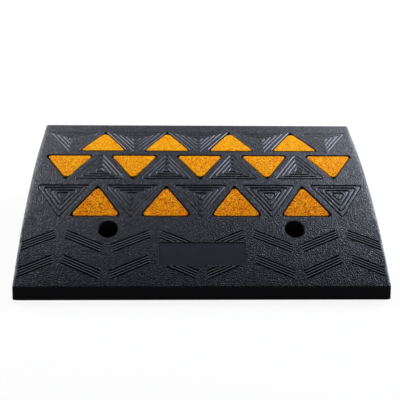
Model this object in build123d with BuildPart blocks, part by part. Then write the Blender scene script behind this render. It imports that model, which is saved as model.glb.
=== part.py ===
from build123d import *

import os
from math import atan, cos, radians, sin, sqrt, tan

os.makedirs("parts", exist_ok=True)

# Ramp block, in millimetres: X runs along the kerb, +Y points to the kerb, Z is up from the road
ramp_length = 500.0
ramp_depth = 360.0
ramp_height = 100.0
toe_height = 17.0
toe_lean = 6.0
toe_round = 4.5
end_round = 7.0
kerb_edge_round = 1.6

# Triangle pattern: margins and gaps down the slope are measured along it, from the kerb edge to the toe
pattern_pitch = 100.0
pattern_end_margin = 10.0
kerb_edge_margin = 29.9
back_row_gap = 14.7
front_row_gap = 17.8
bolt_row_gap = 25.3
tread_gap = 2.6

# Reflector inlays and their pockets
reflector_side = 70.8
reflector_corner = 4.5
reflector_thickness = 3.0
reflector_recess = 0.5
reflector_gap = 2.0
pocket_corner = 2.7

# Engraved nested triangles; those of each row lie a little off its middle, above zero towards the toe
engraved_side = 80.7
engraved_step = 5.62
engraved_back_shift = -1.1
engraved_middle_shift = -3.6
engraved_front_shift = 0.7
engraved_groove_width = 2.2
groove_depth = 1.8

# Chevron tread grooves near the toe
tread_band_step = 43.1
tread_toe_margin = 9.0
tread_half_period = 65.0
tread_end_gap = 7.2
tread_end_margin = 5.2
tread_angle = 26.5
tread_groove_count = 4
tread_groove_pitch = 3.6
tread_groove_width = 2.0
tread_end_lean = 0.77

# Bare panel let into the tread
panel_width = 118.0
panel_height = 37.8
panel_margin = 1.5
panel_depth = 0.5

# Bolt holes with moulded-in seat washers
bolt_spacing = 260.0
bolt_head_hole = 28.0
anchor_bore = 13.5
bolt_land = 12.0
washer_diameter = 36.0
washer_thickness = 4.0
washer_seat_height = 16.0

# Hollows moulded into the underside to save rubber
hollow_size = 46.0
hollow_rib = 12.0
hollow_corner = 6.0
hollow_roof = 30.0
hollow_end_wall = 18.0
hollow_kerb_wall = 14.0

# The slope is one arc, level at the kerb edge, that drops to the top of the toe
slope_run = ramp_depth - toe_lean
slope_drop = ramp_height - toe_height
slope_angle = 2 * atan(slope_drop / slope_run)
slope_radius = slope_run / sin(slope_angle)
slope_length = slope_radius * slope_angle
kerb_y = ramp_depth / 2
toe_y = -ramp_depth / 2
slope_centre_z = ramp_height - slope_radius
bolt_x = bolt_spacing / 2
washer_top = washer_seat_height + washer_thickness

# An equilateral triangle is handled by its inscribed radius, so that an inset is a plain subtraction
INRADIUS_PER_SIDE = 1 / (2 * sqrt(3))
TOWARDS_KERB = -1
TOWARDS_TOE = 1
reflector_inradius = reflector_side * INRADIUS_PER_SIDE
pocket_inradius = reflector_inradius + reflector_gap
engraved_inradius = engraved_side * INRADIUS_PER_SIDE
pocket_depth = reflector_recess + reflector_thickness

# Lines down the slope: the middles of the three rows, the bolt holes and the first tread groove
row_height = reflector_side * sqrt(3) / 2
back_row_middle = kerb_edge_margin + row_height / 2
middle_row_middle = back_row_middle + row_height + back_row_gap
front_row_middle = middle_row_middle + row_height + front_row_gap
bolt_line = front_row_middle + row_height / 2 + bolt_row_gap
tread_top = bolt_line + tread_gap


def on_plan(x, down_slope):
    """Plan position of a point on the slope, given its distance down the slope from the kerb edge."""
    return (x, kerb_y - slope_radius * sin(down_slope / slope_radius))


def slope_height(y):
    """Height of the slope over a plan position."""
    return slope_centre_z + sqrt(slope_radius**2 - (kerb_y - y) ** 2)


def slope_layer(upper, lower):
    """Layer of the block between two depths under the slope; a depth below zero lies above it."""
    with BuildPart() as layer:
        with BuildSketch(Plane.YZ):
            with Locations((kerb_y, slope_centre_z)):
                Circle(slope_radius - upper)
                Circle(slope_radius - lower, mode=Mode.SUBTRACT)
            with Locations((0, ramp_height / 2)):
                Rectangle(ramp_depth, 2 * ramp_height, mode=Mode.INTERSECT)
        extrude(amount=ramp_length / 2, both=True)
    return layer.part


def triangle(x, middle, inradius, apex, row_inradius):
    """Plan corners of a triangle whose row lies at middle; insets of one triangle share its row_inradius."""
    centre = middle - apex * row_inradius / 2
    half_side = inradius * sqrt(3)
    corners = [
        on_plan(x - half_side, centre - apex * inradius),
        on_plan(x + half_side, centre - apex * inradius),
        on_plan(x, centre + apex * 2 * inradius),
    ]
    return corners if apex == TOWARDS_KERB else corners[::-1]


def columns(count):
    """Positions along X of a centred row of triangles."""
    return [(i - (count - 1) / 2) * pattern_pitch for i in range(count)]


# Rows of the pattern: reflectors point one way and the engraved triangles between them the other way
pocket_side = pocket_inradius / INRADIUS_PER_SIDE
wide_count = int((ramp_length - 2 * pattern_end_margin - pocket_side) // pattern_pitch) + 1
wide_row = columns(wide_count)
narrow_row = columns(wide_count - 1)
rows = [
    ("back", back_row_middle, TOWARDS_KERB, narrow_row, wide_row),
    ("middle", middle_row_middle, TOWARDS_TOE, wide_row, narrow_row),
    ("front", front_row_middle, TOWARDS_KERB, narrow_row, wide_row),
]
engraved_shifts = {
    "back": engraved_back_shift,
    "middle": engraved_middle_shift,
    "front": engraved_front_shift,
}
bolt_y = on_plan(bolt_x, bolt_line)[1]

# Pockets for the reflectors, open at the slope
with BuildPart() as pockets:
    for row_name, middle, apex, reflector_xs, engraved_xs in rows:
        for x in reflector_xs:
            with BuildSketch() as pocket_outline:
                Polygon(*triangle(x, middle, pocket_inradius, apex, reflector_inradius), align=None)
                fillet(pocket_outline.vertices(), pocket_corner)
            extrude(amount=2 * ramp_height)
    add(slope_layer(-ramp_height, pocket_depth), mode=Mode.INTERSECT)

# Tread groups: slanting grooves that form chevrons, in as many bands as fit above the toe
groove_run = tread_half_period - 2 * tread_end_gap
groove_drop = groove_run * tan(radians(tread_angle))
groove_step = tread_groove_pitch / cos(radians(tread_angle))
band_height = groove_drop + (tread_groove_count - 1) * groove_step
tread_room = slope_length - tread_toe_margin - tread_top - band_height
band_count = int(tread_room // tread_band_step) + 1
tread_reach = ramp_length / 2 - tread_end_margin
group_count = int(tread_reach // tread_half_period) + 1


def tread_groove(band, group, groove):
    """Plan corners of one tread groove, which falls from a chevron's peak to its trough."""
    rises = 1 if group % 2 == 0 else -1
    peak_x = (group + (1 + rises) / 2) * tread_half_period
    trough_x = peak_x - rises * tread_half_period
    lean = (groove - (tread_groove_count - 1) / 2) * tread_end_lean
    top_x = peak_x - rises * (tread_end_gap - lean)
    low_x = trough_x + rises * (tread_end_gap + lean)
    top = tread_top + band * tread_band_step + groove * groove_step
    low = top + groove_drop
    half_width_x = rises * tread_groove_width / 2 * sin(radians(tread_angle))
    half_width = tread_groove_width / 2 * cos(radians(tread_angle))
    corners = [
        on_plan(top_x + half_width_x, top + half_width),
        on_plan(top_x - half_width_x, top - half_width),
        on_plan(low_x - half_width_x, low - half_width),
        on_plan(low_x + half_width_x, low + half_width),
    ]
    return corners[::rises]


# The bare panel sits in the middle of the tread
panel_middle = tread_top + (band_height + (band_count - 1) * tread_band_step) / 2
panel_back_y = on_plan(0, panel_middle - panel_height / 2)[1]
panel_front_y = on_plan(0, panel_middle + panel_height / 2)[1]
panel_plan_height = panel_back_y - panel_front_y
panel_y = (panel_back_y + panel_front_y) / 2

# Plan of all grooves: the tread, cut away around the panel, and rings of groove a step inside each other
ring_count = int((engraved_inradius - engraved_groove_width) // engraved_step) + 1
with BuildSketch() as groove_plan:
    for row_name, middle, apex, reflector_xs, engraved_xs in rows:
        engraved_middle = middle + engraved_shifts[row_name]
        for x in engraved_xs:
            for ring in range(ring_count):
                outer = engraved_inradius - ring * engraved_step
                inner = outer - engraved_groove_width
                Polygon(*triangle(x, engraved_middle, outer, -apex, engraved_inradius), align=None)
                Polygon(
                    *triangle(x, engraved_middle, inner, -apex, engraved_inradius),
                    align=None,
                    mode=Mode.SUBTRACT,
                )
    for band in range(band_count):
        for group in range(-group_count, group_count):
            for groove in range(tread_groove_count):
                Polygon(*tread_groove(band, group, groove), align=None)
    with Locations((0, panel_y)):
        Rectangle(
            panel_width + 2 * panel_margin,
            panel_plan_height + 2 * panel_margin,
            mode=Mode.SUBTRACT,
        )
    Rectangle(2 * tread_reach, ramp_depth, mode=Mode.INTERSECT)

# All grooves, as deep as each other under the slope
with BuildPart() as grooves:
    add(groove_plan.sketch)
    extrude(amount=2 * ramp_height)
    add(slope_layer(-ramp_height, groove_depth), mode=Mode.INTERSECT)

# Shallow recess of the bare panel
with BuildPart() as panel:
    with BuildSketch():
        with Locations((0, panel_y)):
            Rectangle(panel_width, panel_plan_height)
    extrude(amount=2 * ramp_height)
    add(slope_layer(-ramp_height, panel_depth), mode=Mode.INTERSECT)

# Hollows of the underside: a grid between the end walls, from the kerb wall to the land behind the bolts
hollow_pitch = hollow_size + hollow_rib
hollow_columns = int((ramp_length - 2 * hollow_end_wall + hollow_rib) // hollow_pitch)
hollow_zone = kerb_y - hollow_kerb_wall - (bolt_y + washer_diameter / 2 + bolt_land)
hollow_rows = int((hollow_zone + hollow_rib) // hollow_pitch)
with BuildPart() as hollows:
    for hollow_row in range(hollow_rows):
        hollow_y = kerb_y - hollow_kerb_wall - hollow_size / 2 - hollow_row * hollow_pitch
        roof = slope_height(hollow_y - hollow_size / 2) - hollow_roof
        with BuildSketch():
            with Locations((0, hollow_y)):
                with GridLocations(hollow_pitch, hollow_pitch, hollow_columns, 1):
                    RectangleRounded(hollow_size, hollow_size, hollow_corner)
        extrude(amount=roof)

# Ramp body: the rubber moulding
with BuildPart() as ramp_body:
    with BuildSketch(Plane.YZ) as side_view:
        with BuildLine():
            toe = Line((toe_y, 0), (toe_y + toe_lean, toe_height))
            slope = RadiusArc(toe @ 1, (kerb_y, ramp_height), slope_radius)
            Polyline(slope @ 1, (kerb_y, 0), toe @ 0)
        make_face()
        fillet(side_view.vertices().sort_by(Axis.X)[1], toe_round)
    extrude(amount=ramp_length / 2, both=True)
    end_faces = ramp_body.faces().filter_by(Axis.X)
    end_edges = end_faces.edges().filter_by(
        lambda edge: edge.center().Z > 0 and edge.center().Y < kerb_y - kerb_edge_round
    )
    fillet(end_edges, end_round)
    kerb_face = ramp_body.faces().sort_by(Axis.Y)[-1]
    fillet(kerb_face.edges().sort_by(Axis.Z)[1:], kerb_edge_round)
    add(pockets.part, mode=Mode.SUBTRACT)
    add(grooves.part, mode=Mode.SUBTRACT)
    add(panel.part, mode=Mode.SUBTRACT)
    add(hollows.part, mode=Mode.SUBTRACT)
    with Locations((-bolt_x, bolt_y, ramp_height), (bolt_x, bolt_y, ramp_height)):
        CounterBoreHole(
            radius=anchor_bore / 2,
            counter_bore_radius=bolt_head_hole / 2,
            counter_bore_depth=ramp_height - washer_top,
        )
    with BuildSketch(Plane.XY.offset(washer_seat_height)):
        with Locations((-bolt_x, bolt_y), (bolt_x, bolt_y)):
            Circle(washer_diameter / 2)
    extrude(amount=washer_thickness, mode=Mode.SUBTRACT)
ramp_body.part.label = "ramp_body"
export_step(ramp_body.part, "parts/ramp_body.step")

# Seat washers: flat steel rings moulded into the rubber at the bottom of the bolt holes
for side, x in (("left", -bolt_x), ("right", bolt_x)):
    with BuildPart() as seat_washer:
        with BuildSketch(Plane.XY.offset(washer_seat_height)):
            with Locations((x, bolt_y)):
                Circle(washer_diameter / 2)
                Circle(anchor_bore / 2, mode=Mode.SUBTRACT)
        extrude(amount=washer_thickness)
    seat_washer.part.label = f"seat_washer_{side}"
    export_step(seat_washer.part, f"parts/seat_washer_{side}.step")

# Reflectors: inlays with rounded corners that lie on the pocket floors, a little under the slope
inlay_layer = slope_layer(reflector_recess, pocket_depth)
for row_name, middle, apex, reflector_xs, engraved_xs in rows:
    for number, x in enumerate(reflector_xs, start=1):
        with BuildPart() as reflector:
            with BuildSketch() as inlay_outline:
                Polygon(*triangle(x, middle, reflector_inradius, apex, reflector_inradius), align=None)
                fillet(inlay_outline.vertices(), reflector_corner)
            extrude(amount=2 * ramp_height)
            add(inlay_layer, mode=Mode.INTERSECT)
        reflector.part.label = f"reflector_{row_name}_{number}"
        export_step(reflector.part, f"parts/reflector_{row_name}_{number}.step")
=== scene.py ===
from math import asin, atan, atan2, ceil, cos, pi, radians, sin, sqrt, tan

import bmesh
import bpy
import numpy as np
from mathutils import Matrix, Vector, noise
from mathutils.geometry import delaunay_2d_cdt


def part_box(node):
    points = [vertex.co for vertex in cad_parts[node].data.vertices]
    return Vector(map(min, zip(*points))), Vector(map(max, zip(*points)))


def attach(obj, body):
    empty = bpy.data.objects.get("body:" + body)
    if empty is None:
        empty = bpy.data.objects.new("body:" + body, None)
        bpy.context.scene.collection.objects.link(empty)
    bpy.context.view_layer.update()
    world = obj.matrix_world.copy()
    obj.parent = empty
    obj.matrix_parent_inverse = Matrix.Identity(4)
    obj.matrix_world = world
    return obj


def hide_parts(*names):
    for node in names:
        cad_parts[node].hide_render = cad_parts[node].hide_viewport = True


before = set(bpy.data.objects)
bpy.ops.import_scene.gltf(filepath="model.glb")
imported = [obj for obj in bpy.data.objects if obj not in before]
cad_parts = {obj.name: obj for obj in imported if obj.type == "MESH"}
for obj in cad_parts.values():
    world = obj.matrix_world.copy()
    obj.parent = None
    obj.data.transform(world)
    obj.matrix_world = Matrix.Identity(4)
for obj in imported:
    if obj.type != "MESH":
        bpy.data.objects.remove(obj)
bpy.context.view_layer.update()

# Ramp body
# One thick block of black rubber, compression moulded, that lies against the kerb and is held down by two
# bolts. Its pockets, grooves, bolt holes and underside hollows all come from the mould, so every edge is a
# little round.
MM = 0.001
low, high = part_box("ramp_body")
end_x = high.x / MM
kerb_y = high.y / MM
toe_y = low.y / MM
ramp_height = high.z / MM
toe_height = 17.0
toe_lean = 6.0
toe_round = 3.0
kerb_edge_round = 1.6

# The slope is one arc, level at the kerb edge, that drops to the top of the toe
slope_run = kerb_y - toe_y - toe_lean
slope_angle = 2 * atan((ramp_height - toe_height) / slope_run)
slope_radius = slope_run / sin(slope_angle)
slope_centre = Vector((kerb_y, ramp_height - slope_radius))


def slope_y(distance):
    """Plan position of a line across the slope, by its distance down the slope from the kerb edge."""
    return kerb_y - slope_radius * sin(distance / slope_radius)


def down_slope(y):
    """Distance down the slope from the kerb edge, by plan position."""
    return slope_radius * asin((kerb_y - y) / slope_radius)


def slope_z(y):
    """Height of the slope over a plan position."""
    return slope_centre.y + sqrt(slope_radius**2 - (kerb_y - y) ** 2)


def ease(share):
    """Smooth step from 0 to 1."""
    share = min(max(share, 0.0), 1.0)
    return share * share * (3 - 2 * share)


# The end edges roll off gently, over a wider strip beside the triangles than at the kerb, the tread and the
# toe. They are shallower at the kerb edge and the toe, whose own rounds are tight.
end_edge_depth = 4.0
end_edge_width = 9.0
kerb_end_width = 4.0
kerb_end_depth = 1.4
tread_end_width = 3.9
toe_end_width = 7.0
toe_end_depth = 2.9
END_WIDENS = 40.0
END_NARROWS_FROM = 236.0
END_NARROWS_TO = 264.0
END_THINS_FROM = 330.0
END_THINS_TO = 360.0


def end_width(distance):
    """Width of the rolled end edges at a distance down the slope."""
    widens = ease(distance / END_WIDENS)
    narrows = ease((distance - END_NARROWS_FROM) / (END_NARROWS_TO - END_NARROWS_FROM))
    width = kerb_end_width + (end_edge_width - kerb_end_width) * widens
    return width + (tread_end_width - width) * narrows


def end_depth(distance):
    """Depth of the rolled end edges at a distance down the slope."""
    deepens = ease(distance / END_WIDENS)
    thins = ease((distance - END_THINS_FROM) / (END_THINS_TO - END_THINS_FROM))
    depth = kerb_end_depth + (end_edge_depth - kerb_end_depth) * deepens
    return depth + (toe_end_depth - depth) * thins


def leaning(angle):
    """Direction that leans from straight up towards the toe by an angle."""
    return Vector((-sin(angle), cos(angle)))


# Side profile from the foot of the toe, over the toe round and the slope, to the foot of the kerb face.
# Each entry holds the point, the outward direction, and the width and depth of the round end edge there.
SLOPE_STEP = 9.0
FACE_STEP = 12.0
ROUND_STEPS = 6
toe_direction = Vector((toe_lean, toe_height)).normalized()
toe_outward = Vector((-toe_direction.y, toe_direction.x))
toe_foot = Vector((toe_y, 0.0))
from_centre = toe_foot - toe_outward * toe_round - slope_centre
along = from_centre.dot(toe_direction)
climb = sqrt(along**2 - from_centre.length_squared + (slope_radius - toe_round) ** 2) - along
toe_round_centre = toe_foot - toe_outward * toe_round + toe_direction * climb
slope_end_angle = asin((kerb_y - toe_round_centre.x) / (slope_radius - toe_round))
slope_start_angle = asin(kerb_edge_round / (slope_radius - kerb_edge_round))
kerb_round_centre = slope_centre + leaning(slope_start_angle) * (slope_radius - kerb_edge_round)
# At the road the end round is measured level, so it is longer there by the lean of the toe
level_outward = Vector((1 / toe_outward.x, 0.0))
toe_middle = toe_foot + toe_direction * climb / 2
profile = [
    (toe_foot, level_outward, toe_end_width, toe_end_depth),
    (toe_middle, toe_outward, toe_end_width, toe_end_depth),
]
toe_angle = atan2(-toe_outward.x, toe_outward.y)
for step in range(ROUND_STEPS):
    outward = leaning(toe_angle + (slope_end_angle - toe_angle) * step / ROUND_STEPS)
    profile.append((toe_round_centre + outward * toe_round, outward, toe_end_width, toe_end_depth))
slope_end = len(profile)
slope_steps = ceil(slope_radius * (slope_end_angle - slope_start_angle) / SLOPE_STEP)
for step in range(slope_steps + 1):
    angle = slope_end_angle + (slope_start_angle - slope_end_angle) * step / slope_steps
    outward = leaning(angle)
    distance = angle * slope_radius
    profile.append((slope_centre + outward * slope_radius, outward, end_width(distance), end_depth(distance)))
slope_start = len(profile) - 1
for step in range(1, ROUND_STEPS + 1):
    outward = leaning(slope_start_angle + (-pi / 2 - slope_start_angle) * step / ROUND_STEPS)
    profile.append((kerb_round_centre + outward * kerb_edge_round, outward, kerb_end_width, kerb_end_depth))
kerb_face_steps = ceil(kerb_round_centre.y / FACE_STEP)
for step in range(1, kerb_face_steps + 1):
    point = Vector((kerb_y, kerb_round_centre.y * (1 - step / kerb_face_steps)))
    profile.append((point, Vector((1.0, 0.0)), kerb_end_width, kerb_end_depth))


def ring(mesh, points):
    """New points of a mesh, in order."""
    return [mesh.verts.new(point) for point in points]


def band(mesh, first, second, closed=True):
    """Quads between two rows of points; closed rows run round and meet."""
    made = []
    for i in range(0 if closed else 1, len(first)):
        made.append(mesh.faces.new((first[i - 1], first[i], second[i], second[i - 1])))
    return made


# Outer skin: rounded end edges along the whole profile, then the toe, the kerb face and the flat ends
rubber_skin = bmesh.new()
end_rows = {}
for side in (-1, 1):
    rows = []
    for point, outward, width, depth in profile:
        row = []
        for step in range(ROUND_STEPS + 1):
            turn = pi / 2 * step / ROUND_STEPS
            y, z = point - outward * depth * (1 - cos(turn))
            row.append((side * (end_x - width * (1 - sin(turn))), y, z))
        rows.append(ring(rubber_skin, row))
    for first, second in zip(rows, rows[1:]):
        band(rubber_skin, first, second, closed=False)
    rubber_skin.faces.new([row[-1] for row in rows])
    end_rows[side] = rows

cross_rows = {}
for i, (point, outward, width, depth) in enumerate(profile):
    if slope_end < i < slope_start:
        continue
    reach = end_x - width
    columns = ceil(2 * end_x / FACE_STEP)
    inner = [(reach * (2 * column / columns - 1), point.x, point.y) for column in range(1, columns)]
    cross_rows[i] = [end_rows[-1][i][0]] + ring(rubber_skin, inner) + [end_rows[1][i][0]]
for i in range(len(profile) - 1):
    if i in cross_rows and i + 1 in cross_rows:
        band(rubber_skin, cross_rows[i], cross_rows[i + 1], closed=False)

# Edges of the two large openings that are left: the slope, and the underside on the road
slope_edge = list(cross_rows[slope_end])
slope_edge += [end_rows[1][i][0] for i in range(slope_end + 1, slope_start)]
slope_edge += cross_rows[slope_start][::-1]
slope_edge += [end_rows[-1][i][0] for i in range(slope_start - 1, slope_end, -1)]
road_edge = list(cross_rows[0]) + end_rows[1][0][1:]
road_edge += end_rows[1][-1][:0:-1] + cross_rows[len(profile) - 1][::-1]
road_edge += end_rows[-1][-1][1:] + end_rows[-1][0][:0:-1]


TIGHTEST_CORNER = 0.2


def rounded_outline(corners, radii, spacing, corner_steps, inset=0.0):
    """Plan outline of a convex figure drawn in by an inset; its corners run anticlockwise and are rounded."""
    corners = [Vector(corner) for corner in corners]
    outwards = []
    for corner, following in zip(corners, corners[1:] + corners[:1]):
        side = (following - corner).normalized()
        outwards.append(Vector((side.y, -side.x)))
    arcs = []
    for i, corner in enumerate(corners):
        before, after = outwards[i - 1], outwards[i]
        radius = max(radii[i] - inset, TIGHTEST_CORNER)
        centre = corner - (before + after) * (inset + radius) / (1 + before.dot(after))
        turn = before.angle_signed(after)
        steps = [before.copy() for step in range(corner_steps + 1)]
        for step, direction in enumerate(steps):
            direction.rotate(Matrix.Rotation(-turn * step / corner_steps, 2))
        arcs.append([centre + direction * radius for direction in steps])
    outline = []
    for i, arc in enumerate(arcs):
        outline += arc
        following = arcs[(i + 1) % len(arcs)][0]
        pieces = max(1, round((corners[(i + 1) % len(arcs)] - corners[i]).length / spacing))
        outline += [arc[-1].lerp(following, piece / pieces) for piece in range(1, pieces)]
    return outline


def edge_roll(radius, steps=3):
    """Levels, as inset and depth, of a round edge that rolls from a surface down into a wall."""
    turns = [pi / 2 * step / steps for step in range(steps + 1)]
    return [(-radius * (1 - sin(turn)), radius * (1 - cos(turn))) for turn in turns]


def leaning_wall(top, foot, depth):
    """Levels of a wall that leans from the inset of its top edge to that of its foot."""
    EDGE_SHARE = 0.08
    shares = (0.0, EDGE_SHARE, 1 - EDGE_SHARE, 1.0)
    return [(top + (foot - top) * share, depth * share) for share in shares]


def floor_roll(inset, depth, radius, steps=3):
    """Levels of a round corner at the foot of a wall, which ends on the floor."""
    turns = [pi / 2 * step / steps for step in range(steps + 1)]
    return [(inset + radius * (1 - cos(turn)), depth - radius * (1 - sin(turn))) for turn in turns]


def sink(mesh, corners, radii, levels, surface, spacing=FACE_STEP, corner_steps=3):
    """Draws an outline in, level by level, under a surface; gives the first and last ring and the faces."""
    rings = []
    for inset, depth in levels:
        outline = rounded_outline(corners, radii, spacing, corner_steps, inset)
        rings.append(ring(mesh, [(x, y, surface(y) - depth) for x, y in outline]))
    faces = []
    for first, second in zip(rings, rings[1:]):
        faces += band(mesh, first, second)
    return rings[0], rings[-1], faces


def inner_points(rings, spacing, margin):
    """Staggered plan points inside the first ring, outside the others and clear of them all by a margin."""
    outer = np.array([point.co.xy for point in rings[0]])
    row_step = spacing * sqrt(3) / 2
    spots = []
    for row, y in enumerate(np.arange(outer[:, 1].min(), outer[:, 1].max(), row_step)):
        start = outer[:, 0].min() + spacing / 2 * (row % 2)
        spots += [(x, y) for x in np.arange(start, outer[:, 0].max(), spacing)]
    x, y = np.array(spots).T
    inside = np.zeros(len(x), bool)
    clear = np.ones(len(x), bool)
    for edge_ring in rings:
        for first, second in zip(edge_ring, edge_ring[1:] + edge_ring[:1]):
            start, run = first.co.xy, second.co.xy - first.co.xy
            if run.y:
                crossing = start.x + run.x * (y - start.y) / run.y
                inside ^= ((start.y > y) != (start.y + run.y > y)) & (x < crossing)
            share = ((x - start.x) * run.x + (y - start.y) * run.y) / run.length_squared
            share = share.clip(0, 1)
            clear &= np.hypot(x - start.x - share * run.x, y - start.y - share * run.y) > margin
    return np.column_stack((x, y))[inside & clear]


def fill(mesh, outer, holes, spacing, surface):
    """Covers the plan inside a ring and outside convex holes with triangles on a surface."""
    OUTER_RING = 0
    NO_RING = -1
    INSIDE_ONLY = 1
    SAME_SPOT = 1e-6
    CLEAR_SHARE = 0.45
    rings = [outer] + holes
    points = [point for edge_ring in rings for point in edge_ring]
    owners = [number for number, edge_ring in enumerate(rings) for point in edge_ring]
    edges = []
    for edge_ring in rings:
        start = len(edges)
        count = len(edge_ring)
        edges += [(start + i, start + (i + 1) % count) for i in range(count)]
    for x, y in inner_points(rings, spacing, spacing * CLEAR_SHARE):
        points.append(mesh.verts.new((x, y, surface(y))))
        owners.append(NO_RING)
    plan = [point.co.xy for point in points]
    _, _, triangles, sources, _, _ = delaunay_2d_cdt(plan, edges, [], INSIDE_ONLY, SAME_SPOT)
    made = []
    for triangle in triangles:
        corners = [sources[spot][0] for spot in triangle]
        touched = {owners[corner] for corner in corners}
        if len(touched) == 1 and touched.pop() > OUTER_RING:
            continue
        made.append(mesh.faces.new([points[corner] for corner in corners]))
    return made


# Triangles of the slope: pockets for the reflectors, and sets of four nested grooves between them. Their
# places come from the reflectors. The back pockets have a leaning rim, the front grooves a round shoulder.
reflector_side = 70.8
reflector_gap = 2.0
pocket_depth = 3.5
pocket_tip = 2.7
pocket_corner = 4.5
pocket_rim_lean = 0.75
pocket_rim_depth = 0.8
pocket_edge_round = 0.3
pocket_foot = 0.3
pocket_foot_round = 0.6
engraved_sides = {"back": 80.7, "middle": 76.9, "front": 80.7}
engraved_step = 5.62
engraved_corner = 3.3
engraved_shifts = {"back": 4.0, "middle": -1.9, "front": 0.9}
groove_depths = {"back": 0.9, "middle": 1.7, "front": 2.0}
groove_lean = radians(47)
groove_steep_run = 0.25
groove_floors = {"back": 0.3, "middle": 0.6, "front": 0.3}
groove_shoulder = 1.0
SHOULDER_STEPS = 5
RING_COUNT = 4
INRADIUS_PER_SIDE = 1 / (2 * sqrt(3))
reflector_inradius = reflector_side * INRADIUS_PER_SIDE
TO_KERB = -1
TO_TOE = 1
row_points = {"back": TO_KERB, "middle": TO_TOE, "front": TO_KERB}
row_counts = {"back": 4, "middle": 5, "front": 4}


def triangle(x, centre, inradius, points_to):
    """Plan corners, anticlockwise, of an equilateral triangle laid on the slope."""
    base = slope_y(centre - points_to * inradius)
    tip = slope_y(centre + points_to * 2 * inradius)
    half_side = inradius * sqrt(3)
    corners = [(x - half_side, base), (x + half_side, base), (x, tip)]
    return corners if points_to == TO_KERB else corners[::-1]


def triangle_radii(tip, base, points_to):
    """Corner radii in the order of the triangle's corners."""
    return [base, base, tip] if points_to == TO_KERB else [tip, base, base]


def reflector_places(row):
    """Middles of a row's reflectors: their places along the kerb and the distance down the slope."""
    xs = []
    for number in range(1, row_counts[row] + 1):
        lowest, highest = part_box(f"reflector_{row}_{number}")
        xs.append((lowest.x + highest.x) / 2 / MM)
    base_y = (lowest.y if row_points[row] == TO_KERB else highest.y) / MM
    return xs, down_slope(base_y) + row_points[row] * reflector_inradius


slope_holes = []
smooth_faces = []
pocket_rims = {row: edge_roll(pocket_edge_round) for row in row_points}
pocket_rims["back"] = leaning_wall(-pocket_rim_lean, 0.0, pocket_rim_depth)
for row, points_to in row_points.items():
    xs, centre = reflector_places(row)
    pocket_wall_levels = pocket_rims[row][-1:] + floor_roll(pocket_foot, pocket_depth, pocket_foot_round)
    for x in xs:
        corners = triangle(x, centre, reflector_inradius + reflector_gap, points_to)
        radii = triangle_radii(pocket_tip, pocket_corner, points_to)
        mouth, _, rim = sink(rubber_skin, corners, radii, pocket_rims[row], slope_z)
        slope_holes.append(mouth)
        smooth_faces += rim
        _, foot, _ = sink(rubber_skin, corners, radii, pocket_wall_levels, slope_z)
        fill(rubber_skin, foot, [], SLOPE_STEP, lambda y: slope_z(y) - pocket_depth)
    half_pitch = (xs[1] - xs[0]) / 2
    if points_to == TO_KERB:
        engraved_xs = [xs[0] - half_pitch] + [x + half_pitch for x in xs]
    else:
        engraved_xs = [x + half_pitch for x in xs[:-1]]
    engraved_inradius = engraved_sides[row] * INRADIUS_PER_SIDE
    engraved_centre = centre + points_to * (reflector_inradius + engraved_inradius) / 2 + engraved_shifts[row]
    groove_depth = groove_depths[row]
    lit_run = groove_depth / tan(groove_lean)
    if points_to == TO_TOE:
        outer_run, inner_run = lit_run, groove_steep_run
    else:
        outer_run, inner_run = groove_steep_run, lit_run
    outer_levels = leaning_wall(0.0, outer_run, groove_depth)
    if row == "front":
        outer_levels = edge_roll(groove_shoulder, SHOULDER_STEPS) + outer_levels[-1:]
    inner_top = outer_levels[-1][0] + groove_floors[row] + inner_run
    inner_levels = outer_levels[-1:] + leaning_wall(inner_top, inner_top - inner_run, groove_depth)[::-1]
    for x in engraved_xs:
        land = None
        for number in range(RING_COUNT):
            inradius = engraved_inradius - number * engraved_step
            corners = triangle(x, engraved_centre, inradius, -points_to)
            spacing = FACE_STEP * inradius / engraved_inradius
            radii = [engraved_corner] * 3
            mouth, _, outer_wall = sink(rubber_skin, corners, radii, outer_levels, slope_z, spacing)
            _, crest, inner_wall = sink(rubber_skin, corners, radii, inner_levels, slope_z, spacing)
            if land:
                band(rubber_skin, land, mouth)
            else:
                slope_holes.append(mouth)
            lit_walls = {"back": inner_wall, "middle": outer_wall, "front": outer_wall + inner_wall}
            smooth_faces += lit_walls[row]
            land = crest
        rubber_skin.faces.new(land)

# Bolt holes: a wide recess for the bolt head, the seat that grips the steel ring, and the shank hole
bolt_head_hole = 28.0
anchor_bore = 13.5
hole_edge_round = 1.0
CIRCLE_STEPS = 48


def circle(x, y, radius, height):
    """Points of a level circle, or of one laid on a surface of that height."""
    turns = [2 * pi * step / CIRCLE_STEPS for step in range(CIRCLE_STEPS)]
    around = [(x + radius * cos(turn), y + radius * sin(turn)) for turn in turns]
    if callable(height):
        return [(round_x, round_y, height(round_y)) for round_x, round_y in around]
    return [(round_x, round_y, height) for round_x, round_y in around]


road_holes = []
for washer in ("seat_washer_left", "seat_washer_right"):
    lowest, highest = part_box(washer)
    bolt_x, bolt_y = (lowest.xy + highest.xy) / 2 / MM
    seat_radius = (highest.x - lowest.x) / 2 / MM
    seat_floor, seat_roof = lowest.z / MM, highest.z / MM
    rings = []
    for inset, depth in edge_roll(hole_edge_round):
        around = circle(bolt_x, bolt_y, bolt_head_hole / 2 - inset, lambda y: slope_z(y) - depth)
        rings.append(ring(rubber_skin, around))
    stations = [
        (bolt_head_hole / 2, seat_roof),
        (seat_radius, seat_roof),
        (seat_radius, seat_floor),
        (anchor_bore / 2, seat_floor),
        (anchor_bore / 2, hole_edge_round),
        (anchor_bore / 2 + hole_edge_round, 0.0),
    ]
    for radius, height in stations:
        rings.append(ring(rubber_skin, circle(bolt_x, bolt_y, radius, height)))
    for first, second in zip(rings, rings[1:]):
        band(rubber_skin, first, second)
    slope_holes.append(rings[0])
    road_holes.append(rings[-1])

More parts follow.
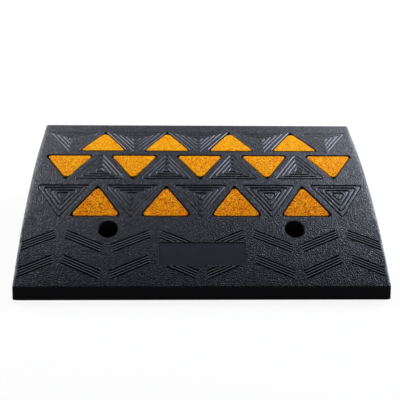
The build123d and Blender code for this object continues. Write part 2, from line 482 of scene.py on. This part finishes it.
# Chevron tread: groups of slanting grooves in two bands, cut short at the ends and beside the bare panel
bolt_line = down_slope(bolt_y)
tread_below_bolts = 2.6
tread_top = bolt_line + tread_below_bolts
tread_band_step = 43.1
tread_half_period = 65.0
tread_end_gap = 7.2
tread_margin = 4.6
tread_reach = end_x - tread_margin
tread_angle = radians(26.5)
tread_groove_count = 4
tread_groove_pitch = 3.6
tread_groove_width = 2.4
tread_end_lean = 0.77
tread_groove_depth = 2.4
tread_edge_round = 0.15
tread_wall_lean = 0.1
tread_foot_round = 0.4
tread_corner = 0.3
BAND_COUNT = 2
groove_drop = (tread_half_period - 2 * tread_end_gap) * tan(tread_angle)
groove_step = tread_groove_pitch / cos(tread_angle)
band_height = groove_drop + (tread_groove_count - 1) * groove_step
group_count = int(tread_reach // tread_half_period) + 1
panel_width = 118.0
panel_height = 37.8
panel_margin = 1.5
panel_depth = 0.5
panel_corner = 0.8
PANEL_GROUPS = (-1, 0)
panel_middle = tread_top + (band_height + (BAND_COUNT - 1) * tread_band_step) / 2
panel_back = slope_y(panel_middle - panel_height / 2)
panel_front = slope_y(panel_middle + panel_height / 2)


def tread_groove(band_number, group, groove):
    """Plan corners, anticlockwise, of one tread groove, which falls from a chevron's peak to its trough."""
    rises = 1 if group % 2 == 0 else -1
    peak_x = (group + (1 + rises) / 2) * tread_half_period
    trough_x = peak_x - rises * tread_half_period
    lean = (groove - (tread_groove_count - 1) / 2) * tread_end_lean
    top_x = peak_x - rises * (tread_end_gap - lean)
    low_x = trough_x + rises * (tread_end_gap + lean)
    top = tread_top + band_number * tread_band_step + groove * groove_step
    half_x = rises * tread_groove_width / 2 * sin(tread_angle)
    half = tread_groove_width / 2 * cos(tread_angle)
    corners = [
        (top_x + half_x, slope_y(top + half)),
        (top_x - half_x, slope_y(top - half)),
        (low_x - half_x, slope_y(top + groove_drop - half)),
        (low_x + half_x, slope_y(top + groove_drop + half)),
    ]
    return corners[::rises]


X_AXIS, Y_AXIS = 0, 1
ABOVE, BELOW = 1, -1


def keep_side(corners, axis, limit, side):
    """The part of a convex figure on one side of a line across an axis."""
    kept = []
    for first, second in zip(corners, corners[1:] + corners[:1]):
        before = (first[axis] - limit) * side
        after = (second[axis] - limit) * side
        if before >= 0:
            kept.append(first)
        if before * after < 0:
            kept.append(Vector(first).lerp(Vector(second), before / (before - after)))
    return kept


tread_levels = edge_roll(tread_edge_round) + floor_roll(tread_wall_lean, tread_groove_depth, tread_foot_round)
for band_number in range(BAND_COUNT):
    for group in range(-group_count, group_count):
        for groove in range(tread_groove_count):
            corners = tread_groove(band_number, group, groove)
            if group in PANEL_GROUPS and band_number == 0:
                corners = keep_side(corners, Y_AXIS, panel_back + panel_margin, ABOVE)
            elif group in PANEL_GROUPS:
                corners = keep_side(corners, Y_AXIS, panel_front - panel_margin, BELOW)
            corners = keep_side(corners, X_AXIS, tread_reach, BELOW)
            corners = keep_side(corners, X_AXIS, -tread_reach, ABOVE)
            if corners:
                radii = [tread_corner] * len(corners)
                mouth, foot, _ = sink(rubber_skin, corners, radii, tread_levels, slope_z, corner_steps=1)
                rubber_skin.faces.new(foot)
                slope_holes.append(mouth)

# Bare panel: a shallow smooth field in the middle of the tread
panel_edge_round = 0.25
panel_wall_lean = 0.1
panel_foot_round = 0.2
panel_x = panel_width / 2
panel_corners = [
    (-panel_x, panel_front),
    (panel_x, panel_front),
    (panel_x, panel_back),
    (-panel_x, panel_back),
]
panel_levels = edge_roll(panel_edge_round)
panel_levels += floor_roll(panel_wall_lean, panel_depth, panel_foot_round, steps=2)
mouth, foot, _ = sink(rubber_skin, panel_corners, [panel_corner] * 4, panel_levels, slope_z)
panel_faces = fill(rubber_skin, foot, [], SLOPE_STEP, lambda y: slope_z(y) - panel_depth)
slope_holes.append(mouth)
fill(rubber_skin, slope_edge, slope_holes, SLOPE_STEP, slope_z)

# Hollows of the underside: a grid of drafted pockets between ribs, which save rubber
hollow_size = 46.0
hollow_rib = 12.0
hollow_corner = 6.0
hollow_roof = 30.0
hollow_kerb_wall = 14.0
hollow_edge_round = 1.0
hollow_draft = 0.8
hollow_roof_round = 3.0
HOLLOW_COLUMNS = 8
HOLLOW_ROWS = 4
hollow_pitch = hollow_size + hollow_rib


def road_z(y):
    """Height of the underside, which lies flat on the road."""
    return 0.0


for hollow_row in range(HOLLOW_ROWS):
    back = kerb_y - hollow_kerb_wall - hollow_row * hollow_pitch
    front = back - hollow_size
    roof = slope_z(front) - hollow_roof
    levels = edge_roll(hollow_edge_round) + floor_roll(hollow_draft, roof, hollow_roof_round)
    levels = [(inset, -height) for inset, height in levels]
    for column in range(HOLLOW_COLUMNS):
        left = (column - HOLLOW_COLUMNS / 2) * hollow_pitch + hollow_rib / 2
        corners = [(left, front), (left + hollow_size, front), (left + hollow_size, back), (left, back)]
        mouth, top, _ = sink(rubber_skin, corners, [hollow_corner] * 4, levels, road_z)
        rubber_skin.faces.new(top)
        road_holes.append(mouth)
fill(rubber_skin, road_edge, road_holes, hollow_rib, road_z)
SAME_POINT = 0.001


def finished(name, mesh, materials, sharp_angle=radians(50)):
    """Turns a mesh in millimetres into an object in metres, smooth but for its sharp edges."""
    bmesh.ops.remove_doubles(mesh, verts=mesh.verts, dist=SAME_POINT)
    bmesh.ops.recalc_face_normals(mesh, faces=mesh.faces)
    if mesh.calc_volume(signed=True) < 0:
        bmesh.ops.reverse_faces(mesh, faces=mesh.faces)
    bmesh.ops.scale(mesh, vec=(MM, MM, MM), verts=mesh.verts)
    for face in mesh.faces:
        face.smooth = True
    for edge in mesh.edges:
        if edge.is_manifold and edge.calc_face_angle() > sharp_angle:
            edge.smooth = False
    data = bpy.data.meshes.new(name)
    mesh.to_mesh(data)
    mesh.free()
    for material in materials:
        data.materials.append(material)
    made = bpy.data.objects.new(name, data)
    bpy.context.scene.collection.objects.link(made)
    flat_faces_lead = made.modifiers.new("flat_faces_lead", "WEIGHTED_NORMAL")
    flat_faces_lead.keep_sharp = True
    return made


def linear(hex_colour):
    """Linear colour, with alpha, of an sRGB hex value."""
    channels = [int(hex_colour[i : i + 2], 16) / 255 for i in (1, 3, 5)]
    return [c / 12.92 if c <= 0.04045 else ((c + 0.055) / 1.055) ** 2.4 for c in channels] + [1.0]


def per_mm(size):
    """Scale of a pattern, on coordinates in metres, whose cells measure a size in millimetres."""
    return 1 / (size * MM)


def add(tree, kind, inputs, **settings):
    """Adds a node with its settings; each input is a value or the socket that feeds it."""
    made = tree.nodes.new(kind)
    for name, value in settings.items():
        setattr(made, name, value)
    for name, value in inputs.items():
        if isinstance(value, bpy.types.NodeSocket):
            tree.links.new(value, made.inputs[name])
        else:
            made.inputs[name].default_value = value
    return made


def new_material(name):
    """An empty node material and its tree."""
    material = bpy.data.materials.new(name)
    material.use_nodes = True
    material.node_tree.nodes.clear()
    return material, material.node_tree


# Pebbled rubber of the slope: matt black with a fine grain from the mould. The light that its micro-bumps
# break into specks is painted into the colour as painted glints: random cells are painted lighter, and are
# also less rough. The real grain is about 1 mm; it is drawn 2 mm wide so that it shows.
RUBBER_IOR = 1.52
rubber_sheen = linear("#D9E2FF")
grain_width = 2.0
grain_depth = 0.75
grained_rubber, tree = new_material("grained_rubber")
place = add(tree, "ShaderNodeTexCoord", {}).outputs["Object"]
pebbles = add(
    tree,
    "ShaderNodeTexVoronoi",
    {"Vector": place, "Scale": per_mm(grain_width), "Randomness": 1.0, "Smoothness": 0.4},
    feature="SMOOTH_F1",
)
specks = add(tree, "ShaderNodeTexVoronoi", {"Vector": place, "Scale": per_mm(grain_width), "Randomness": 1.0})
# Painted glints: the lighter cells stand in for light caught by the grain
lit = add(
    tree,
    "ShaderNodeMapRange",
    {"Value": specks.outputs["Color"], "From Min": 0.45, "From Max": 0.95, "To Min": 0.0, "To Max": 1.0},
)
shade = add(
    tree,
    "ShaderNodeMixRGB",
    {"Fac": lit.outputs["Result"], "Color1": linear("#060708"), "Color2": linear("#383B44")},
)
rough = add(
    tree,
    "ShaderNodeMapRange",
    {"Value": specks.outputs["Color"], "From Min": 0.3, "From Max": 0.8, "To Min": 0.6, "To Max": 0.36},
)
grain = add(
    tree,
    "ShaderNodeBump",
    {"Height": pebbles.outputs["Distance"], "Strength": 1.0, "Distance": grain_depth * MM},
    invert=True,
)
rubber = add(
    tree,
    "ShaderNodeBsdfPrincipled",
    {
        "Base Color": shade.outputs["Color"],
        "Roughness": rough.outputs["Result"],
        "Normal": grain.outputs["Normal"],
        "IOR": RUBBER_IOR,
        "Specular IOR Level": 0.26,
        "Specular Tint": rubber_sheen,
    },
)
add(tree, "ShaderNodeOutputMaterial", {"Surface": rubber.outputs["BSDF"]})

# Plain rubber of the toe, ends, kerb face, underside and steep walls: the mould slides along it, so it is
# smooth and nearly without sheen
flow_width = 9.0
flow_depth = 0.3
plain_rubber, tree = new_material("plain_rubber")
place = add(tree, "ShaderNodeTexCoord", {}).outputs["Object"]
clouds = add(
    tree,
    "ShaderNodeTexNoise",
    {"Vector": place, "Scale": per_mm(flow_width), "Detail": 5.0, "Roughness": 0.65},
)
shade = add(
    tree,
    "ShaderNodeMixRGB",
    {"Fac": clouds.outputs["Fac"], "Color1": linear("#1E1E20"), "Color2": linear("#2C2C30")},
)
ripple = add(
    tree,
    "ShaderNodeBump",
    {"Height": clouds.outputs["Fac"], "Strength": 0.3, "Distance": flow_depth * MM},
)
rubber = add(
    tree,
    "ShaderNodeBsdfPrincipled",
    {
        "Base Color": shade.outputs["Color"],
        "Roughness": 0.6,
        "Normal": ripple.outputs["Normal"],
        "IOR": RUBBER_IOR,
        "Specular IOR Level": 0.06,
    },
)
add(tree, "ShaderNodeOutputMaterial", {"Surface": rubber.outputs["BSDF"]})

# Polished rubber of the panel: the mould was polished there, so the field is darker and its sheen even
polish_width = 14.0
polish_depth = 0.2
polished_rubber, tree = new_material("polished_rubber")
place = add(tree, "ShaderNodeTexCoord", {}).outputs["Object"]
clouds = add(tree, "ShaderNodeTexNoise", {"Vector": place, "Scale": per_mm(polish_width), "Detail": 3.0})
shade = add(
    tree,
    "ShaderNodeMixRGB",
    {"Fac": clouds.outputs["Fac"], "Color1": linear("#22252D"), "Color2": linear("#2D303A")},
)
ripple = add(
    tree,
    "ShaderNodeBump",
    {"Height": clouds.outputs["Fac"], "Strength": 0.2, "Distance": polish_depth * MM},
)
rubber = add(
    tree,
    "ShaderNodeBsdfPrincipled",
    {
        "Base Color": shade.outputs["Color"],
        "Roughness": 0.55,
        "Normal": ripple.outputs["Normal"],
        "IOR": RUBBER_IOR,
        "Specular IOR Level": 0.2,
        "Specular Tint": rubber_sheen,
    },
)
add(tree, "ShaderNodeOutputMaterial", {"Surface": rubber.outputs["BSDF"]})

# Smooth rubber of the leaning groove walls and the pocket rims: the mould was milled there, so they catch
# the light as thin pale lines
milling_width = 5.0
milling_depth = 0.3
smooth_rubber, tree = new_material("smooth_rubber")
place = add(tree, "ShaderNodeTexCoord", {}).outputs["Object"]
clouds = add(tree, "ShaderNodeTexNoise", {"Vector": place, "Scale": per_mm(milling_width), "Detail": 4.0})
shade = add(
    tree,
    "ShaderNodeMixRGB",
    {"Fac": clouds.outputs["Fac"], "Color1": linear("#181A1E"), "Color2": linear("#30333B")},
)
rough = add(
    tree,
    "ShaderNodeMapRange",
    {"Value": clouds.outputs["Fac"], "From Min": 0.3, "From Max": 0.7, "To Min": 0.22, "To Max": 0.34},
)
ripple = add(
    tree,
    "ShaderNodeBump",
    {"Height": clouds.outputs["Fac"], "Strength": 0.4, "Distance": milling_depth * MM},
)
rubber = add(
    tree,
    "ShaderNodeBsdfPrincipled",
    {
        "Base Color": shade.outputs["Color"],
        "Roughness": rough.outputs["Result"],
        "Normal": ripple.outputs["Normal"],
        "IOR": RUBBER_IOR,
        "Specular IOR Level": 0.3,
        "Specular Tint": rubber_sheen,
    },
)
add(tree, "ShaderNodeOutputMaterial", {"Surface": rubber.outputs["BSDF"]})

# Pale rubber of the tread: the ridges between the grooves carry the wheels; their light grey is a painted
# highlight
ridge_highlight_width = 3.0
ridge_highlight_rubber, tree = new_material("ridge_highlight_rubber")
place = add(tree, "ShaderNodeTexCoord", {}).outputs["Object"]
clouds = add(tree, "ShaderNodeTexNoise", {"Vector": place, "Scale": per_mm(ridge_highlight_width), "Detail": 3.0})
shade = add(
    tree,
    "ShaderNodeMixRGB",
    {"Fac": clouds.outputs["Fac"], "Color1": linear("#52555C"), "Color2": linear("#6A6E76")},
)
rubber = add(
    tree,
    "ShaderNodeBsdfPrincipled",
    {
        "Base Color": shade.outputs["Color"],
        "Roughness": 0.5,
        "IOR": RUBBER_IOR,
        "Specular IOR Level": 0.26,
        "Specular Tint": rubber_sheen,
    },
)
add(tree, "ShaderNodeOutputMaterial", {"Surface": rubber.outputs["BSDF"]})


def on_tread_ridge(x, y):
    """Whether a plan position lies on the ridges between the grooves of a tread group."""
    group = x // tread_half_period
    peak_x = (group + (group + 1) % 2) * tread_half_period
    run = abs(x - peak_x) - tread_end_gap
    if not 0 < run < tread_half_period - 2 * tread_end_gap:
        return False
    if group in PANEL_GROUPS and panel_front - panel_margin < y < panel_back + panel_margin:
        return False
    below_peak = down_slope(y) - tread_top - run * tan(tread_angle)
    ridges = (tread_groove_count - 1) * groove_step
    return any(0 < below_peak - number * tread_band_step < ridges for number in range(BAND_COUNT))


# The grain covers the slope and runs on over the end and toe edges until they turn down steeply
skins = [grained_rubber, smooth_rubber, plain_rubber, polished_rubber, ridge_highlight_rubber]
GRAINED, SMOOTH, PLAIN, POLISHED, RIDGE_HIGHLIGHT = range(len(skins))
LEAST_DEPTH = 0.05
END_GRAIN_ENDS = cos(radians(60))
TOE_GRAIN_ENDS = cos(radians(66))
slope_end_y = profile[slope_end][0].x
bmesh.ops.recalc_face_normals(rubber_skin, faces=rubber_skin.faces)
for face in rubber_skin.faces:
    middle = face.calc_center_median()
    depth = slope_z(middle.y) - middle.z
    if middle.y < slope_end_y:
        grained = face.normal.z > TOE_GRAIN_ENDS
    elif abs(middle.x) > end_x - end_width(down_slope(middle.y)):
        grained = face.normal.z > END_GRAIN_ENDS
    else:
        grained = depth < LEAST_DEPTH
    face.material_index = GRAINED if grained else PLAIN
    # The ridges between the tread grooves take the painted highlight
    if grained and on_tread_ridge(middle.x, middle.y):
        face.material_index = RIDGE_HIGHLIGHT
for face in smooth_faces:
    face.material_index = SMOOTH
for face in panel_faces:
    face.material_index = POLISHED
ramp_body = finished("moulded_ramp_body", rubber_skin, skins)
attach(ramp_body, "root")
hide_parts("ramp_body")

# Seat washers
# Flat punched steel rings, dull with zinc plate, that are moulded into the rubber at the bottom of the bolt
# holes so that the bolt heads don't pull through.
spangle_width = 3.0
scratch_width = 0.7
scratch_depth = 0.05

# Zinc plate on steel: a dull grey metal, mottled and finely scuffed
zinc_plate, tree = new_material("zinc_plated_steel")
place = add(tree, "ShaderNodeTexCoord", {}).outputs["Object"]
spangle = add(tree, "ShaderNodeTexNoise", {"Vector": place, "Scale": per_mm(spangle_width), "Detail": 4.0})
scratches = add(
    tree,
    "ShaderNodeTexNoise",
    {"Vector": place, "Scale": per_mm(scratch_width), "Detail": 2.0, "Distortion": 2.0},
)
shade = add(
    tree,
    "ShaderNodeMixRGB",
    {"Fac": spangle.outputs["Fac"], "Color1": linear("#7B7D80"), "Color2": linear("#A3A5A6")},
)
rough = add(
    tree,
    "ShaderNodeMapRange",
    {"Value": spangle.outputs["Fac"], "From Min": 0.3, "From Max": 0.7, "To Min": 0.38, "To Max": 0.55},
)
scuffs = add(
    tree,
    "ShaderNodeBump",
    {"Height": scratches.outputs["Fac"], "Strength": 0.25, "Distance": scratch_depth * MM},
)
steel = add(
    tree,
    "ShaderNodeBsdfPrincipled",
    {
        "Base Color": shade.outputs["Color"],
        "Metallic": 1.0,
        "Roughness": rough.outputs["Result"],
        "Normal": scuffs.outputs["Normal"],
    },
)
add(tree, "ShaderNodeOutputMaterial", {"Surface": steel.outputs["BSDF"]})
for washer in ("seat_washer_left", "seat_washer_right"):
    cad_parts[washer].data.materials.clear()
    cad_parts[washer].data.materials.append(zinc_plate)

# Reflectors
# Thirteen triangular inlays, stamped from a thick amber sheet that is coated with glass beads, and bonded
# into the pockets a little under the slope. The beads lie close and unevenly, like coarse sand.
reflector_trims = {"back": 0.7, "middle": 0.4, "front": 0.3}
reflector_tips = {"back": 6.0, "middle": 6.0, "front": 4.5}
reflector_corners = {"back": 3.2, "middle": 3.4, "front": 4.4}
laid_off_middle = {"reflector_back_3": 0.7, "reflector_middle_1": 1.2, "reflector_middle_3": 0.7}
reflector_recess = 0.5
reflector_edge_round = 0.5
BEAD_GRID = 0.75
EDGE_STEP = 1.5
CORNER_STEPS = 6
BEAD_SIZE = 1.7
BEAD_HEIGHT = 0.35
BEAD_REACH = 0.62
BEAD_MIDDLE = 0.5


def bead_height(x, y):
    """Height of the bead coat at a place, from 0 between beads to 1 on top of one."""
    (nearest, *_), _ = noise.voronoi(Vector((x, y, 0.0)) / BEAD_SIZE)
    return max(0.0, 1 - (nearest / BEAD_REACH) ** 2)


# Glass beads in amber resin: matt and saturated. Their colour holds painted light: yellow is a painted
# highlight where a bead would catch light, orange red painted shade where it wouldn't. Real beads measure
# about 0.6 mm;
# they are drawn 1.7 to 2.4 mm wide so that they show. The lower rows get more painted shade, so they are
# redder, and they are coarser.
lit_and_shaded_amber_tones = {
    "back": ("#B4480A", "#E58E0A", "#F6BC1C"),
    "middle": ("#C2460A", "#EC900A", "#FFC21C"),
    "front": ("#B03406", "#FF8A0A", "#FFBC1C"),
}
painted_shade_ranges = {"back": (0.33, 0.52), "middle": (0.36, 0.54), "front": (0.37, 0.52)}
sand_sizes = {"back": 1.8, "middle": 2.0, "front": 2.4}
sand_depth = 0.5
beaded_ambers = {}
for row, (red, orange, yellow) in lit_and_shaded_amber_tones.items():
    sand_scale = per_mm(sand_sizes[row])
    darkest, brightest = painted_shade_ranges[row]
    beaded_ambers[row], tree = new_material(f"glass_beads_in_amber_resin_{row}")
    place = add(tree, "ShaderNodeTexCoord", {}).outputs["Object"]
    beads = add(tree, "ShaderNodeTexVoronoi", {"Vector": place, "Scale": sand_scale, "Randomness": 1.0})
    sand = add(
        tree,
        "ShaderNodeTexNoise",
        {"Vector": place, "Scale": sand_scale, "Detail": 2.0, "Roughness": 0.6},
    )
    # Painted highlight: beads picked at random go yellow, as if they caught the light
    lit = add(
        tree,
        "ShaderNodeMapRange",
        {"Value": beads.outputs["Color"], "From Min": 0.25, "From Max": 0.75, "To Min": 0.0, "To Max": 1.0},
    )
    # Painted shade: the low parts of the sand, its hollows, go orange red
    dim = add(
        tree,
        "ShaderNodeMapRange",
        {
            "Value": sand.outputs["Fac"],
            "From Min": darkest,
            "From Max": brightest,
            "To Min": 0.0,
            "To Max": 1.0,
        },
    )
    bright = add(
        tree,
        "ShaderNodeMixRGB",
        {"Fac": lit.outputs["Result"], "Color1": linear(orange), "Color2": linear(yellow)},
    )
    shade = add(
        tree,
        "ShaderNodeMixRGB",
        {"Fac": dim.outputs["Result"], "Color1": linear(red), "Color2": bright.outputs["Color"]},
    )
    grains = add(
        tree,
        "ShaderNodeBump",
        {"Height": sand.outputs["Fac"], "Strength": 0.7, "Distance": sand_depth * MM},
    )
    resin = add(
        tree,
        "ShaderNodeBsdfPrincipled",
        {
            "Base Color": shade.outputs["Color"],
            "Roughness": 0.6,
            "Normal": grains.outputs["Normal"],
            "IOR": 1.25,
            "Specular IOR Level": 0.05,
        },
    )
    add(tree, "ShaderNodeOutputMaterial", {"Surface": resin.outputs["BSDF"]})

# Levels of an inlay from its underside up: a bevelled foot, the wall and a round top edge
inlay_levels = [(reflector_edge_round, pocket_depth), (0.0, pocket_depth - reflector_edge_round)]
for outset, depth in edge_roll(reflector_edge_round)[::-1]:
    inlay_levels.append((-outset, reflector_recess + depth))
for row, points_to in row_points.items():
    xs, centre = reflector_places(row)
    for number, x in enumerate(xs, start=1):
        node = f"reflector_{row}_{number}"
        inlay = bmesh.new()
        x += laid_off_middle.get(node, 0.0)
        corners = triangle(x, centre, reflector_inradius - reflector_trims[row], points_to)
        radii = triangle_radii(reflector_tips[row], reflector_corners[row], points_to)
        under, over, _ = sink(inlay, corners, radii, inlay_levels, slope_z, EDGE_STEP, CORNER_STEPS)
        inlay.faces.new(under)
        top_points = set(over)
        for face in fill(inlay, over, [], BEAD_GRID, lambda y: slope_z(y) - reflector_recess):
            top_points.update(face.verts)
        for vertex in top_points:
            height = bead_height(vertex.co.x, vertex.co.y)
            vertex.co.z += (height - BEAD_MIDDLE) * BEAD_HEIGHT
        made = finished(f"beaded_{node}", inlay, [beaded_ambers[row]])
        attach(made, "root")
        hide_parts(node)

# Stage
# A plain pale floor that runs on far out and rises in a cove as the backdrop. The eye and mirror-like
# surfaces see it white; it keeps the shadow, and throws only a little light back at the ramp.
FLOOR_REACH = 22.0
COVE_RUN = 8.0
COVE_HEIGHT = 5.5
COVE_STEPS = 12
GLOW_SHARE = 0.9
floor_skin = bmesh.new()
rings = []
for step in range(COVE_STEPS + 1):
    share = step / COVE_STEPS
    around = circle(0.0, 0.0, FLOOR_REACH + COVE_RUN * share, COVE_HEIGHT * share**2)
    rings.append(ring(floor_skin, around))
floor_skin.faces.new(rings[0])
for first, second in zip(rings, rings[1:]):
    band(floor_skin, first, second)
bmesh.ops.recalc_face_normals(floor_skin, faces=floor_skin.faces)
floor_data = bpy.data.meshes.new("studio_floor")
floor_skin.to_mesh(floor_data)
floor_skin.free()
floor = bpy.data.objects.new("studio_floor", floor_data)
bpy.context.scene.collection.objects.link(floor)
white_floor, tree = new_material("white_floor")
rays = add(tree, "ShaderNodeLightPath", {})
eye_or_gloss = add(
    tree,
    "ShaderNodeMath",
    {0: rays.outputs["Is Camera Ray"], 1: rays.outputs["Is Glossy Ray"]},
    operation="MAXIMUM",
)
seen = add(
    tree,
    "ShaderNodeMath",
    {0: eye_or_gloss.outputs["Value"], 1: rays.outputs["Is Transmission Ray"]},
    operation="MAXIMUM",
)
backdrop_share = add(
    tree,
    "ShaderNodeMath",
    {0: seen.outputs["Value"], 1: GLOW_SHARE},
    operation="MULTIPLY",
)
tone = add(
    tree,
    "ShaderNodeMixRGB",
    {"Fac": seen.outputs["Value"], "Color1": linear("#8C8C8C"), "Color2": linear("#F4F4F4")},
)
paint = add(tree, "ShaderNodeBsdfDiffuse", {"Color": tone.outputs["Color"]})
glow = add(tree, "ShaderNodeEmission", {"Color": linear("#FFFFFF"), "Strength": 1.0})
mixed = add(
    tree,
    "ShaderNodeMixShader",
    {"Fac": backdrop_share.outputs["Value"], 1: paint.outputs["BSDF"], 2: glow.outputs["Emission"]},
)
add(tree, "ShaderNodeOutputMaterial", {"Surface": mixed.outputs["Shader"]})
floor_data.materials.append(white_floor)

# Room: pale walls along the horizon under a dim ceiling
WALL_LIGHT = 0.2
CEILING_LIGHT = 0.06
WALL_TOP = radians(8)
CEILING_EDGE = radians(22)
world = bpy.data.worlds.new("studio")
bpy.context.scene.world = world
world.use_nodes = True
tree = world.node_tree
tree.nodes.clear()
direction = add(tree, "ShaderNodeTexCoord", {}).outputs["Generated"]
height = add(tree, "ShaderNodeSeparateXYZ", {"Vector": direction})
wall = add(
    tree,
    "ShaderNodeMapRange",
    {
        "Value": height.outputs["Z"],
        "From Min": sin(WALL_TOP),
        "From Max": sin(CEILING_EDGE),
        "To Min": WALL_LIGHT,
        "To Max": CEILING_LIGHT,
    },
    interpolation_type="SMOOTHSTEP",
)
room = add(
    tree,
    "ShaderNodeBackground",
    {"Color": linear("#FFFFFF"), "Strength": wall.outputs["Result"]},
)
add(tree, "ShaderNodeOutputWorld", {"Surface": room.outputs["Background"]})

# Lamps
# Two tall soft boxes stand behind the kerb edge and two smaller ones beside the ramp, so that the light
# grazes the slope. Those on the right are slightly cool.
aim = Vector((0.0, 0.0, 0.05))
tall_box = (0.7, 0.9)
small_box = (0.7, 0.66)


def soft_box(name, place, size, watts, colour):
    """A rectangular lamp turned to the ramp."""
    data = bpy.data.lights.new(name, "AREA")
    data.color = linear(colour)[:3]
    data.shape = "RECTANGLE"
    data.size, data.size_y = size
    data.energy = watts
    lamp = bpy.data.objects.new(name, data)
    lamp.location = place
    lamp.rotation_euler = (aim - Vector(place)).to_track_quat("-Z", "Y").to_euler()
    lamp.visible_camera = False
    bpy.context.scene.collection.objects.link(lamp)


soft_box("right_back_soft_box", place=(1.0, 1.25, 1.0), size=tall_box, watts=30.0, colour="#F2F6FF")
soft_box("left_back_soft_box", place=(-1.05, 1.25, 1.0), size=tall_box, watts=22.5, colour="#FFFFFF")
soft_box("right_side_soft_box", place=(1.2, 0.57, 0.43), size=small_box, watts=26.0, colour="#F2F6FF")
soft_box("left_side_soft_box", place=(-1.2, 0.57, 0.43), size=small_box, watts=15.0, colour="#FFFFFF")

# Camera
# It stands in front of the toe, a little to the left, and looks down on the slope.
PHOTO_SIZE = 400.0
FOCAL_PIXELS = 785.7
yaw = radians(1.914)
pitch = radians(27.726)
roll = radians(-0.985)
camera_place = Vector((-0.0347, -1.0348, 0.5984))
camera_data = bpy.data.cameras.new("camera")
camera_data.sensor_width = 36.0
camera_data.lens = FOCAL_PIXELS / PHOTO_SIZE * camera_data.sensor_width
camera = bpy.data.objects.new("camera", camera_data)
bpy.context.scene.collection.objects.link(camera)
forward = Vector((sin(yaw) * cos(pitch), cos(yaw) * cos(pitch), -sin(pitch)))
level_right = Vector((cos(yaw), -sin(yaw), 0.0))
level_down = forward.cross(level_right)
right = level_right * cos(roll) + level_down * sin(roll)
up = level_right * sin(roll) - level_down * cos(roll)
turned = Matrix((right, up, -forward)).transposed().to_4x4()
camera.matrix_world = Matrix.Translation(camera_place) @ turned
bpy.context.scene.camera = camera
bpy.context.scene.view_settings.view_transform = "Standard"
